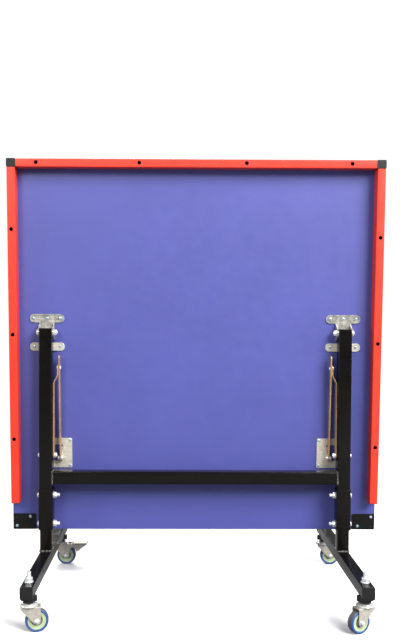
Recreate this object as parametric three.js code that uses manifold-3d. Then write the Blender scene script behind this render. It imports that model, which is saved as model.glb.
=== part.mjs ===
// One half of a two-piece rolling table-tennis table, folded upright on its own T-foot frame.
// Units are millimetres, +Z up, +X across the width, +Y from the frame's front towards the playing side.
// Origin: on the floor, midway between the two posts, which is the middle of the overall box.
import * as THREE from 'three';
import { mergeVertices } from 'three/addons/utils/BufferGeometryUtils.js';
import Module from 'manifold-3d';

// ---------------------------------------------------------------- driving dimensions
const GAP = 0.3;                 // running and assembly gap between neighbours

const PANEL_W = 1016;            // table width
const PANEL_TOP = 464.5;         // player's edge above the fold axis, along the panel
const PANEL_BOTTOM = -556;       // net edge below the fold axis, along the panel
const PANEL_T = 16;              // panel thickness
const PANEL_OFF = 23;            // fold axis to panel underside
const LEAN = THREE.MathUtils.degToRad(2.66);   // lean of the stored panel

const PIVOT_Z = 720;             // fold axis above the floor
const POST_X = 407;              // post centre from the middle
const POST_W = 35;               // square post
const POST_TOP = 729;
const POST_BOTTOM = 236;
const WALL = 2;

const SLEEVE_W = 39;             // coupling sleeve between post and foot
const SLEEVE_Z = [181, 291];
const SLEEVE_BOLT_Z = [274, 195];

const CROSS_Z = 323.5;           // crossbar centre height
const CROSS_H = 35;

const BEAM_W = 31;               // foot beam, square
const BEAM_TOP = 121.5;
const BEAM_HALF = 297;           // half length without the end caps
const STUB_W = 32;               // foot socket standing on the beam
const STUB_TOP = 234;

const STEM_Y = 262;              // caster stem from the post
const STEM_R = 5;
const STEM_TOP = 147.5;
const WHEEL_R = 28.5;
const WHEEL_W = 18;
const WHEEL_SIDES = 28;          // the tread stands on a flat of this many
const AXLE_Z = WHEEL_R * Math.cos(Math.PI / WHEEL_SIDES);
const TRAIL = 18.5;               // caster trail
const FORK_TOP = 70.5;
const KNOB_Z = [71.3, 89.8];
const KNOB_R = 20;

const RAIL_W = 22;               // edge rail, width and depth
const RAIL_D = 38;
const RAIL_WALL = 1.6;
const RAIL_X = 505.5;            // outer face of the side rails
const RAIL_END = -471;           // lower end of the side rails
const END_RAIL_S = [441, 463];
const RAIL_HOLE_R = 5.2;
const HOLES_LEFT = [276.5, -6, -293];
const HOLES_RIGHT = [258, -28, -313.5];
const HOLES_TOP = [-427, -152.5, 133.5, 415];

const STAY_A = [0, 384];                   // stay pivot on the post, [Y, Z]
const STAY_B = [-349, 14];                 // stay pivot on the panel, [along panel, off underside]
const STAY_J = [4.8, 623.0];               // middle joint of the stay, [Y, Z]
const STAY_T = 3;
const STAY_W = 16;
const LOWER_X = [19, 22];                  // lower link planes from the post centre, below the joggle
const LOWER_X2 = [30, 33];                 // and above the joggle
const UPPER_X = [34, 37];                  // upper link plane from the post centre
const JOGGLE = [195, 222];                 // joggle, measured along the lower link
const TAIL = 35;                           // upper link beyond the middle joint

const CASTERS = [                          // name, side, end, swivel angle in degrees, brake
  ['front_left', -1, -1, 10, false],
  ['front_right', 1, -1, 207, false],
  ['rear_left', -1, 1, 0, true],
  ['rear_right', 1, 1, 0, false],
];

// ---------------------------------------------------------------- solid helpers
const wasm = await Module();
wasm.setup();

function solid(geometry) {
  const g = (geometry.index ? geometry.toNonIndexed() : geometry).clone();
  g.deleteAttribute('normal');
  g.deleteAttribute('uv');
  const m = mergeVertices(g, 1e-4);
  const p = m.attributes.position.array;
  const tri = [];
  const idx = m.index.array;
  let vol = 0;
  for (let i = 0; i < idx.length; i += 3) {
    const [a, b, c] = [idx[i], idx[i + 1], idx[i + 2]];
    if (a === b || b === c || a === c) continue;
    tri.push(a, b, c);
    const A = new THREE.Vector3().fromArray(p, a * 3);
    const B = new THREE.Vector3().fromArray(p, b * 3);
    const C = new THREE.Vector3().fromArray(p, c * 3);
    vol += A.dot(B.cross(C));
  }
  if (vol < 0) for (let i = 0; i < tri.length; i += 3) [tri[i + 1], tri[i + 2]] = [tri[i + 2], tri[i + 1]];
  return new wasm.Manifold(new wasm.Mesh({
    numProp: 3,
    vertProperties: new Float32Array(p),
    triVerts: new Uint32Array(tri),
  }));
}

function toGeometry(man) {
  const m = man.getMesh();
  const g = new THREE.BufferGeometry();
  const v = new Float32Array(m.numVert * 3);
  for (let i = 0; i < m.numVert; i++) for (let k = 0; k < 3; k++) v[i * 3 + k] = m.vertProperties[i * m.numProp + k];
  g.setAttribute('position', new THREE.BufferAttribute(v, 3));
  g.setIndex(new THREE.BufferAttribute(new Uint32Array(m.triVerts), 1));
  const flat = g.toNonIndexed();
  flat.computeVertexNormals();
  return flat;
}

const join = (...parts) => parts.reduce((a, b) => a.add(b));
const cut = (base, ...tools) => tools.reduce((a, b) => a.subtract(b), base);

function box(x0, x1, y0, y1, z0, z1) {
  const g = new THREE.BoxGeometry(x1 - x0, y1 - y0, z1 - z0);
  g.translate((x0 + x1) / 2, (y0 + y1) / 2, (z0 + z1) / 2);
  return solid(g);
}

function outline(points) {
  const s = new THREE.Shape();
  points.forEach(([a, b], i) => (i ? s.lineTo(a, b) : s.moveTo(a, b)));
  s.closePath();
  return s;
}

function rounded(x0, x1, y0, y1, r, n = 2) {
  const pts = [];
  for (const [cx, cy, a0] of [[x1 - r, y1 - r, 0], [x0 + r, y1 - r, 90], [x0 + r, y0 + r, 180], [x1 - r, y0 + r, 270]]) {
    for (let i = 0; i <= n; i++) {
      const a = THREE.MathUtils.degToRad(a0 + (90 * i) / n);
      pts.push([cx + r * Math.cos(a), cy + r * Math.sin(a)]);
    }
  }
  return pts;
}

function extrude(points, depth, holes = []) {
  const s = outline(points);
  for (const h of holes) s.holes.push(new THREE.Path(outline([...h].reverse()).getPoints()));
  return new THREE.ExtrudeGeometry(s, { depth, bevelEnabled: false, curveSegments: 1 });
}

// plate drawn in X and Z, thick along Y
function plateXZ(points, y0, y1, holes) {
  const g = extrude(points, y1 - y0, holes);
  g.rotateX(Math.PI / 2);
  g.translate(0, y1, 0);
  return solid(g);
}

// plate drawn in Y and Z, thick along X
function plateYZ(points, x0, x1, holes) {
  const g = extrude(points, x1 - x0, holes);
  g.applyMatrix4(new THREE.Matrix4().makeBasis(
    new THREE.Vector3(0, 1, 0), new THREE.Vector3(0, 0, 1), new THREE.Vector3(1, 0, 0)));
  g.translate(x0, 0, 0);
  return solid(g);
}

// plate drawn in X and Y, thick along Z
function plateXY(points, z0, z1, holes) {
  const g = extrude(points, z1 - z0, holes);
  g.translate(0, 0, z0);
  return solid(g);
}

function rod(axis, r, from, to, at, n = 12) {
  const g = new THREE.CylinderGeometry(r, r, to - from, n);
  g.translate(0, (from + to) / 2, 0);
  if (axis === 'x') g.rotateZ(-Math.PI / 2);
  if (axis === 'z') g.rotateX(Math.PI / 2);
  g.translate(...at);
  return solid(g);
}

function turned(axis, profile, at, n = 12) {
  const g = new THREE.LatheGeometry(profile.map(([r, h]) => new THREE.Vector2(r, h)), n);
  if (axis === 'x') g.rotateZ(-Math.PI / 2);
  if (axis === 'z') g.rotateX(Math.PI / 2);
  g.translate(...at);
  return solid(g);
}

function squareTube(w, z0, z1, wall, cx, r = 3) {
  const h = w / 2;
  return plateXY(rounded(cx - h, cx + h, -h, h, r), z0, z1,
    [rounded(cx - h + wall, cx + h - wall, -h + wall, h - wall, Math.max(r - wall, 0.6), 2)]);
}

const material = (color, roughness, metalness) => new THREE.MeshStandardMaterial({ color, roughness, metalness });
const M = {
  panel: material(0x6668bd, 0.55, 0.0),
  rail: material(0xe8432c, 0.4, 0.0),
  cap: material(0x2c2c2e, 0.6, 0.0),
  frame: material(0x1a1817, 0.25, 0.1),
  zinc: material(0xc9c4b6, 0.4, 0.9),
  brass: material(0xc49a5c, 0.4, 0.9),
  bolt: material(0xe2e4e6, 0.25, 0.9),
  plate: material(0x171717, 0.45, 0.3),
  knob: material(0x141414, 0.5, 0.0),
  wheel: material(0x3c64be, 0.5, 0.0),
};

const table = new THREE.Group();
const frame = new THREE.Group();
const top = new THREE.Group();
top.position.set(0, 0, PIVOT_Z);
top.rotation.x = LEAN;
table.add(frame, top);

function add(parent, name, man, mat) {
  const mesh = new THREE.Mesh(toGeometry(man), mat);
  mesh.name = name;
  parent.add(mesh);
  return mesh;
}

const SIDES = [['left', -1], ['right', 1]];
// mirror a solid drawn for the right side, so the left one is its mirror image
const side = (man, s) => (s > 0 ? man : man.mirror([1, 0, 0]));

// ---------------------------------------------------------------- table top
add(top, 'table_panel',
  plateXZ(rounded(-PANEL_W / 2, PANEL_W / 2, PANEL_BOTTOM, PANEL_TOP, 2.5, 2), PANEL_OFF, PANEL_OFF + PANEL_T), M.panel);

const RY1 = PANEL_OFF - GAP;                 // rail back, against the panel
const RY0 = RY1 - RAIL_D;                    // rail face
for (const [word, s] of SIDES) {
  const holes = s < 0 ? HOLES_LEFT : HOLES_RIGHT;
  const x0 = RAIL_X - RAIL_W;
  let rail = plateXY(rounded(x0, RAIL_X, RY0, RY1, 2, 2), RAIL_END, END_RAIL_S[0] - 0.5,
    [rounded(x0 + RAIL_WALL, RAIL_X - RAIL_WALL, RY0 + RAIL_WALL, RY1 - RAIL_WALL, 0.6, 1)]);
  for (const h of holes) rail = cut(rail, rod('y', RAIL_HOLE_R, RY0 - 2, RY0 + 6, [RAIL_X - 10.5, 0, h], 14));
  add(top, `side_rail_${word}`, side(rail, s), M.rail);

  // corner cap: a block with a spigot into each rail
  const inner = RAIL_WALL + 0.4;
  const cap = join(
    plateXZ(rounded(RAIL_X - 24, RAIL_X + 0.7, END_RAIL_S[0] - 0.2, END_RAIL_S[1] + 0.7, 2.5, 3), RY0 - 0.7, RY1),
    box(x0 + inner, RAIL_X - inner, RY0 + inner, RY1 - inner, END_RAIL_S[0] - 16, END_RAIL_S[0] + 2),
    box(RAIL_X - 40, RAIL_X - 22, RY0 + inner, RY1 - inner, END_RAIL_S[0] + inner, END_RAIL_S[1] - inner));
  add(top, `corner_cap_${word}`, side(cap, s), M.cap);

  // net-side corner plate with four screw holes
  const hole = (x, z) => rounded(x - 2.6, x + 2.6, z - 2.6, z + 2.6, 2.59, 3);
  const plate = plateXZ(rounded(444, PANEL_W / 2 - 0.5, PANEL_BOTTOM + 0.5, -511, 3, 2), RY1 - 2.3, RY1,
    [hole(459.4, -519.2), hole(497, -519.2), hole(459.4, -545.3), hole(497, -545.3)]);
  add(top, `net_corner_plate_${word}`, side(plate, s), M.plate);

  // hinge bracket: T-shaped leaf with two ears that straddle the post top
  const bar = rounded(POST_X - 47.5, POST_X + 47.5, 25.5, 48.5, 11.4, 5);
  const neck = [[POST_X - 20.8, 10], [POST_X + 20.8, 10], [POST_X + 20.8, 20], [POST_X + 24, 27], [POST_X - 24, 27], [POST_X - 20.8, 20]];
  const ear = [[RY1, 24], [19, 24]];
  for (let i = 0; i <= 8; i++) {
    const a = THREE.MathUtils.degToRad(100 + (165 * i) / 8);
    ear.push([12.5 * Math.cos(a), 12.5 * Math.sin(a)]);
  }
  ear.push([16, -22], [RY1, -24]);
  let bracket = join(
    plateXZ(bar, RY1 - 2.8, RY1),
    plateXZ(neck, RY1 - 2.8, RY1),
    plateYZ(ear, POST_X - POST_W / 2 - GAP - 3, POST_X - POST_W / 2 - GAP),
    plateYZ(ear, POST_X + POST_W / 2 + GAP, POST_X + POST_W / 2 + GAP + 3));
  bracket = cut(bracket, rod('x', STEM_R + GAP, POST_X - 30, POST_X + 30, [0, 0, 0], 16),
    ...[-35.5, 0, 35.5].map((d) => rod('y', 2.6, 10, 30, [POST_X + d, 0, 37], 10)));
  add(top, `hinge_bracket_${word}`, side(bracket, s), M.zinc);

  // rest saddle: hat-shaped strap behind the post
  const hat = [[-47.5, RY1], [-47.5, RY1 - 2.3], [-28, RY1 - 2.3], [-20, 16.3], [20, 16.3], [28, RY1 - 2.3], [47.5, RY1 - 2.3],
    [47.5, RY1], [26.6, RY1], [18.8, 18.6], [-18.8, 18.6], [-26.6, RY1]].map(([x, y]) => [x + POST_X, y]);
  let saddle = plateXY(hat, -52.3, -29.7);
  saddle = saddle.intersect(plateXZ(rounded(POST_X - 47.5, POST_X + 47.5, -52.3, -29.7, 9, 4), 0, 30));
  saddle = cut(saddle, ...[-35.5, 35.5].map((d) => rod('y', 2.6, 10, 30, [POST_X + d, 0, -41], 10)));
  add(top, `rest_saddle_${word}`, side(saddle, s), M.zinc);

  // stay plate: pressed plate with a window, its tab bent up as an ear that carries the stay's stud
  const ex = POST_X - 37.5;                       // ear face beside the upper link
  const bs = STAY_B[0];
  const by = PANEL_OFF - STAY_B[1];
  const earB = [[RY1 - 1, bs + 21], [18, bs + 19]];
  for (let i = 0; i <= 8; i++) {
    const a = THREE.MathUtils.degToRad(95 + (170 * i) / 8);
    earB.push([by + 8.5 * Math.cos(a), bs + 8.5 * Math.sin(a)]);
  }
  earB.push([18, bs - 9.5], [RY1 - 1, bs - 10.5]);
  const w1 = POST_X - 14;
  let stay = plateXZ(rounded(POST_X - 66, POST_X - 7, -379, -296, 3, 2), RY1 - 2.5, RY1,
    [rounded(ex, w1, bs - 10, bs + 34, 2, 1)]);
  stay = join(stay,
    plateYZ(earB, ex - 2.5, ex),
    turned('x', [[0, 0], [6, 0], [6, 2], [4, 3.5], [4, 11.6], [6.8, 11.6], [6.8, 13], [4, 14.6], [0, 14.6]], [ex - 5.5, by, bs], 14));
  for (const [dx, dz] of [[-60.5, -373], [-12.5, -373], [-60.5, -302], [-12.5, -302]]) {
    stay = cut(stay, rod('y', 2.4, 10, 30, [POST_X + dx, 0, dz], 10));
  }
  add(top, `stay_plate_${word}`, side(stay, s), M.zinc);
}

// end rail along the player's edge
{
  const [s0, s1] = END_RAIL_S;
  const x = RAIL_X - 24 - GAP;
  const ring = (d, r, n) => rounded(RY0 + d, RY1 - d, s0 + d, s1 - d, r, n);
  let rail = plateYZ(ring(0, 2, 2), -x, x, [ring(RAIL_WALL, 0.6, 1)]);
  for (const h of HOLES_TOP) rail = cut(rail, rod('y', RAIL_HOLE_R, RY0 - 2, RY0 + 6, [h, 0, 453], 14));
  add(top, 'end_rail', rail, M.rail);
}

// ---------------------------------------------------------------- stays
// each link is drawn along +Z from its first pivot, then turned onto the line between its pivots
const rest = new THREE.Matrix4().makeTranslation(0, 0, PIVOT_Z).multiply(new THREE.Matrix4().makeRotationX(LEAN));
const B = new THREE.Vector3(0, PANEL_OFF - STAY_B[1], STAY_B[0]).applyMatrix4(rest);
const lowLen = Math.hypot(STAY_J[0] - STAY_A[0], STAY_J[1] - STAY_A[1]);
const upLen = Math.hypot(STAY_J[0] - B.y, STAY_J[1] - B.z);
for (const [word, s] of SIDES) {
  const w = STAY_W / 2;
  const X = (v) => POST_X - v;
  // lower link, with a joggle that carries its upper end over to the upper link
  const prof = [[X(LOWER_X[0]), -12], [X(LOWER_X[0]), JOGGLE[0]], [X(LOWER_X2[0]), JOGGLE[1]], [X(LOWER_X2[0]), lowLen + 12],
    [X(LOWER_X2[1]), lowLen + 12], [X(LOWER_X2[1]), JOGGLE[1] + 1], [X(LOWER_X[1]), JOGGLE[0] + 1], [X(LOWER_X[1]), -12]];
  const form = plateXZ(prof, -w, w);
  const lens = (l0, l1) => rounded(-w, w, l0 - 9, l1 + 9, w - 0.1, 5);
  let lower = form.intersect(plateYZ(lens(0, lowLen), X(60), X(0)));
  lower = cut(lower, rod('x', 4 + GAP, X(60), X(0), [0, 0, 0], 14), rod('x', 3, X(60), X(0), [0, 0, lowLen], 12));
  const low = add(frame, `stay_lower_link_${word}`, side(lower, s), M.brass);
  low.position.set(0, STAY_A[0], STAY_A[1]);
  low.rotation.x = -Math.atan2(STAY_J[0] - STAY_A[0], STAY_J[1] - STAY_A[1]);

  // upper link with its finger tail and the middle joint's rivet head
  let upper = plateYZ(rounded(-w, w, -9, upLen + TAIL, w - 0.1, 5), X(UPPER_X[1]), X(UPPER_X[0]));
  upper = cut(upper, rod('x', 4 + GAP, X(60), X(0), [0, 0, 0], 14));
  upper = join(upper, turned('x', [[0, 0], [3.5, 0], [5.5, 1.6], [5.5, 3.2], [0, 3.2]], [X(UPPER_X[1]) - 3, 0, upLen], 12));
  const up = add(frame, `stay_upper_link_${word}`, side(upper, s), M.brass);
  up.position.set(0, B.y, B.z);
  up.rotation.x = -Math.atan2(STAY_J[0] - B.y, STAY_J[1] - B.z);
}

// ---------------------------------------------------------------- frame
const hex = (r, z0, z1, axis, at) => rod(axis, r, z0, z1, at, 6);
for (const [word, s] of SIDES) {
  const h = POST_W / 2;
  const put = (name, man, mat) => add(frame, `${name}_${word}`, side(man, s), mat);
  const pin = (r, z) => rod('x', r + GAP, POST_X - 40, POST_X + 40, [0, 0, z], 12);

  put('post', cut(squareTube(POST_W, POST_BOTTOM, POST_TOP, WALL, POST_X),
    pin(STEM_R, PIVOT_Z), pin(4, STAY_A[1]), pin(STEM_R, SLEEVE_BOLT_Z[0])), M.frame);
  // cap plugged into the post's upper end, notched round the fold bolt
  put('post_cap', cut(join(
    plateXY(rounded(POST_X - h, POST_X + h, -h, h, 3), POST_TOP + GAP, POST_TOP + 1.8),
    plateXY(rounded(POST_X - h + WALL + GAP, POST_X + h - WALL - GAP, -h + WALL + GAP, h - WALL - GAP, 1, 1), POST_TOP - 12, POST_TOP + 1)),
  rod('x', STEM_R + 0.6, POST_X - 40, POST_X + 40, [0, 0, PIVOT_Z], 12)), M.cap);
  put('leg_sleeve', cut(squareTube(SLEEVE_W, SLEEVE_Z[0], SLEEVE_Z[1], (SLEEVE_W - POST_W) / 2 - GAP, POST_X, 3.5),
    pin(STEM_R, SLEEVE_BOLT_Z[0]), pin(STEM_R, SLEEVE_BOLT_Z[1])), M.frame);

  // foot: a beam with a socket standing on its middle
  const b = BEAM_W / 2;
  const zc = BEAM_TOP - b;
  const beamTube = plateXZ(rounded(POST_X - b, POST_X + b, BEAM_TOP - BEAM_W, BEAM_TOP, 3), -BEAM_HALF, BEAM_HALF,
    [rounded(POST_X - b + WALL, POST_X + b - WALL, BEAM_TOP - BEAM_W + WALL, BEAM_TOP - WALL, 1, 1)]);
  put('foot_beam', cut(join(beamTube, squareTube(STUB_W, BEAM_TOP - 0.5, STUB_TOP, WALL, POST_X)),
    pin(STEM_R, SLEEVE_BOLT_Z[1]),
    ...[-1, 1].map((e) => rod('z', STEM_R + GAP, 80, 130, [POST_X, e * STEM_Y, 0], 12))), M.frame);
  for (const [end, e] of [['front', -1], ['rear', 1]]) {
    const y = (a, c) => (e < 0 ? [-c, -a] : [a, c]);
    const inner = WALL + GAP;
    add(frame, `beam_end_cap_${end}_${word}`, side(join(
      plateXZ(rounded(POST_X - b, POST_X + b, BEAM_TOP - BEAM_W, BEAM_TOP, 3), ...y(BEAM_HALF + GAP, BEAM_HALF + 3)),
      plateXZ(rounded(POST_X - b + inner, POST_X + b - inner, zc - b + inner, zc + b - inner, 1, 1), ...y(BEAM_HALF - 14, BEAM_HALF + 2))),
    s), M.cap);
  }

  // through bolts, each with its head outboard and its nut inboard
  const bolt = (r, z, inner, outer, headR, tip) => join(
    rod('x', r, POST_X - inner - tip, POST_X + outer + 1, [0, 0, z], 12),
    turned('x', [[0, 0], [headR, 0], [headR, 1.5], [headR * 0.8, 3.6], [headR * 0.45, 5], [0, 5.4]], [POST_X + outer, 0, z], 12),
    hex(headR, POST_X - inner - 8, POST_X - inner, 'x', [0, 0, z]));
  const earOut = h + GAP + 3 + GAP;
  put('pivot_bolt', bolt(STEM_R, PIVOT_Z, earOut, earOut, 8.6, 11), M.bolt);
  put('stay_bolt', bolt(4, STAY_A[1], LOWER_X[1] + GAP, h + GAP, 7, 7), M.bolt);
  const so = SLEEVE_W / 2 + GAP;
  put('sleeve_bolt_upper', bolt(STEM_R, SLEEVE_BOLT_Z[0], so, so, 8.6, 16), M.bolt);
  put('sleeve_bolt_lower', bolt(STEM_R, SLEEVE_BOLT_Z[1], so, so, 8.6, 16), M.bolt);
}

add(frame, 'crossbar', plateYZ(rounded(-CROSS_H / 2, CROSS_H / 2, CROSS_Z - CROSS_H / 2, CROSS_Z + CROSS_H / 2, 3),
  -(POST_X - POST_W / 2 - GAP), POST_X - POST_W / 2 - GAP,
  [rounded(-CROSS_H / 2 + WALL, CROSS_H / 2 - WALL, CROSS_Z - CROSS_H / 2 + WALL, CROSS_Z + CROSS_H / 2 - WALL, 1, 1)]), M.frame);

// ---------------------------------------------------------------- casters
// drawn about the stem axis with the trail along +X
function fork(brake) {
  const P = [];
  for (let i = 0; i <= 8; i++) {
    const a = THREE.MathUtils.degToRad(205 + (150 * i) / 8);
    P.push([TRAIL + 9 * Math.cos(a), AXLE_Z + 9 * Math.sin(a)]);
  }
  const cheek = [[-21, 64], [-21, 59], ...P,
    ...(brake ? [[30, 48], [38, 54], [39, 60], [37.5, 62.8], [34, 63.4], [32, 64]] : [[28, 52], [28, 64]])];
  const plates = [-1, 1].map((e) => (e < 0 ? plateXZ(cheek, -13.3, -11.3) : plateXZ(cheek, 11.3, 13.3)));
  let f = join(...plates,
    plateXY(rounded(-21, brake ? 24 : 28, -13.3, 13.3, 2, 2), 61, 64),
    turned('z', [[0, 63], [18, 63], [21.5, 64.6], [21.5, 67], [19, 69.5], [14, FORK_TOP], [0, FORK_TOP]], [0, 0, 0], 18));
  f = cut(f, rod('z', STEM_R + 0.4, 50, 80, [0, 0, 0], 16), rod('y', 3.3, -20, 20, [TRAIL, 0, AXLE_Z], 14));
  if (brake) f = cut(f, rod('y', 2.4, -20, 20, [34, 0, 59.5], 10));
  return f;
}

function starNut() {
  const pts = [];
  const n = 6;
  for (let i = 0; i < n * 6; i++) {
    const a = (i / (n * 6)) * Math.PI * 2;
    const r = KNOB_R - 2.6 + 2.6 * Math.cos(a * n);
    pts.push([r * Math.cos(a), r * Math.sin(a)]);
  }
  const body = plateXY(pts, KNOB_Z[0] + 4, KNOB_Z[1]);
  return cut(join(body, rod('z', 12, KNOB_Z[0], KNOB_Z[0] + 5, [0, 0, 0], 12)), rod('z', STEM_R + 0.4, 60, 100, [0, 0, 0], 16));
}

function wheel() {
  const h = WHEEL_W / 2;
  const R = WHEEL_R;
  const profile = [[3.3, -10.6], [8, -10.6], [8, -7.5], [R - 6.5, -7.5], [R - 2.6, -h], [R, -4], [R, 4], [R - 2.6, h],
    [R - 6.5, 7.5], [8, 7.5], [8, 10.6], [3.3, 10.6], [3.3, -10.6]];
  const g = new THREE.LatheGeometry(profile.map(([r, y]) => new THREE.Vector2(r, y)), WHEEL_SIDES);
  g.rotateY(Math.PI / WHEEL_SIDES);
  g.translate(TRAIL, 0, AXLE_Z);
  return solid(g);
}

function axle() {
  return join(
    rod('y', 3, -17, 17, [TRAIL, 0, AXLE_Z], 14),
    turned('y', [[0, -19], [3, -18.4], [5, -16.6], [5.6, -13.6], [0, -13.6]], [TRAIL, 0, AXLE_Z], 14),
    rod('y', 5.6, 13.6, 18.4, [TRAIL, 0, AXLE_Z], 6));
}

function stem() {
  return join(
    turned('z', [[0, 58.6], [7.5, 58.6], [7.5, 60.6], [STEM_R, 60.6], [STEM_R, STEM_TOP - 1.5], [STEM_R - 1.5, STEM_TOP], [0, STEM_TOP]], [0, 0, 0], 12),
    turned('z', [[0, BEAM_TOP + GAP], [11, BEAM_TOP + GAP], [11, BEAM_TOP + 2], [8.5, BEAM_TOP + 4], [0, BEAM_TOP + 4]], [0, 0, 0], 14),
    rod('z', 9.6, BEAM_TOP + 3, BEAM_TOP + 12, [0, 0, 0], 6));
}

function pedal() {
  // tread channel between two side plates that carry a toothed shoe beside the tyre
  const sidePlate = [[34, 55.8], [37, 55.4], [40, 51.4], [42.6, 50.4], [44.6, 46.2], [47, 45.4], [49.2, 41.4], [52, 38.8], [55.4, 43], [58.4, 42.6],
    [62, 48], [72, 54.5], [80, 60.8], [80, 64], [40, 64.9], [36, 64.2], [33, 63.4], [30.8, 61.5], [30.4, 58.8], [31.4, 56.6]];
  const tread = [[40.3, 60.8], [80, 60.8], [83, 63.6], [82.4, 66.2], [41, 66.2]];
  return join(
    plateXZ(sidePlate, -10.6, -8.4), plateXZ(sidePlate, 8.4, 10.6),
    plateXZ(tread, -14, 14),
    rod('y', 2, -15, 15, [34, 0, 59.5], 10),
    rod('y', 3.4, -10, 10, [34, 0, 59.5], 12));
}

for (const [word, sx, sy, turn, brake] of CASTERS) {
  const fixed = new THREE.Group();
  fixed.position.set(sx * POST_X, sy * STEM_Y, 0);
  const swivel = new THREE.Group();
  swivel.rotation.z = THREE.MathUtils.degToRad(turn);
  fixed.add(swivel);
  frame.add(fixed);
  add(fixed, `caster_stem_${word}`, stem(), M.bolt);
  add(fixed, `star_nut_${word}`, starNut(), M.knob);
  add(swivel, `caster_fork_${word}`, fork(brake), M.zinc);
  add(swivel, `caster_axle_${word}`, axle(), M.bolt);
  add(swivel, `caster_wheel_${word}`, wheel(), M.wheel);
  if (brake) add(swivel, 'brake_pedal', pedal(), M.zinc);
}

export default table;
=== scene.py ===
import math
import random

import bmesh
import bpy
from mathutils import Matrix, Vector


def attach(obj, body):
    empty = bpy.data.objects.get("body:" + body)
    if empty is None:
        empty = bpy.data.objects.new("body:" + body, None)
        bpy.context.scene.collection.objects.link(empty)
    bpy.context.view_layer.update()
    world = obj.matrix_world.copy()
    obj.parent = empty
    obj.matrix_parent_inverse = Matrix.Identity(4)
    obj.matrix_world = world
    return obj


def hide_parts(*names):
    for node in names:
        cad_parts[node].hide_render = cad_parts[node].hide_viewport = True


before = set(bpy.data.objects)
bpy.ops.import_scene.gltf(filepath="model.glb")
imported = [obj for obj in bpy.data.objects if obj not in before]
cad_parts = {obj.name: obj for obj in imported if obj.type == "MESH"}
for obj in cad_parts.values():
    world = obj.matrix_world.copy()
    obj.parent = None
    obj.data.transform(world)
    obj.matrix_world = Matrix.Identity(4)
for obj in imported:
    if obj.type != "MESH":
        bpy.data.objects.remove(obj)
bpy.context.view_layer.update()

random.seed(7)
MM = 0.001
scene = bpy.context.scene

# ------------------------------------------------------------------ shared dimensions (mm, as the CAD part has them)
LEAN = math.radians(2.66)
PIVOT_Z = 720.0
POST_X, POST_W = 407.0, 35.0
OFF, THICK = 23.0, 16.0
RY1 = OFF - 0.3
RY0 = RY1 - 38.0
RAIL_X, RAIL_W = 505.5, 22.0
STEM_Y, TRAIL = 262.0, 18.5
WHEEL_R = 28.5
AXLE_Z = WHEEL_R * math.cos(math.pi / 28)
TOP = Matrix.Translation((0, 0, PIVOT_Z * MM)) @ Matrix.Rotation(LEAN, 4, "X")
SIDES = (("left", -1), ("right", 1))
CASTERS = (("front_left", -1, -1, 10.0, False), ("front_right", 1, -1, 207.0, False),
           ("rear_left", -1, 1, 0.0, True), ("rear_right", 1, 1, 0.0, False))


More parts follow.
